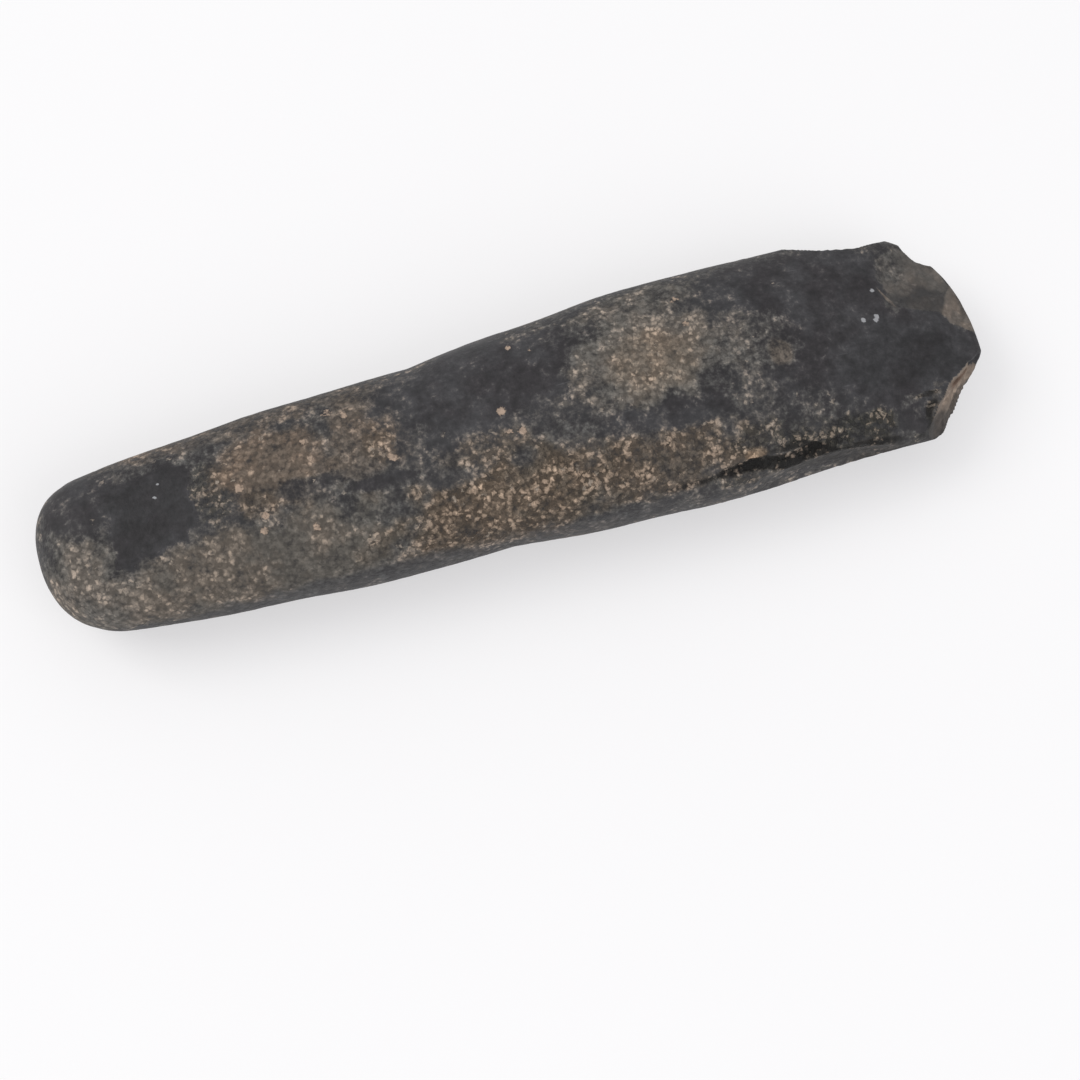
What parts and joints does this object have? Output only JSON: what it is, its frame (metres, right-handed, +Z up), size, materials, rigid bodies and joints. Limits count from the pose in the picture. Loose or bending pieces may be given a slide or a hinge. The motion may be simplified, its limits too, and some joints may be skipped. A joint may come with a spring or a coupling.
{
  "type": "ground stone axe head",
  "caption": "Long ground-stone axe head with a rounded butt, slightly waisted sides, a domed section and a curved cutting edge chipped at both corners, lying on its belly.",
  "frame": {"origin": "on the resting plane, under the middle of the bounding box", "axes": "+X along the axe towards the cutting edge, +Y across it towards the long side with the larger chipped corner, +Z up, out of the face"},
  "size_m": [0.26, 0.0646, 0.0383],
  "materials": {
    "ground_stone": "dark fine-grained stone, polished almost black in places, elsewhere pecked and flecked with tan and grey, matt grey-brown in the flake scars"
  },
  "bodies": {
    "root": {"stone_axe": "ground_stone"}
  },
  "joints": []
}
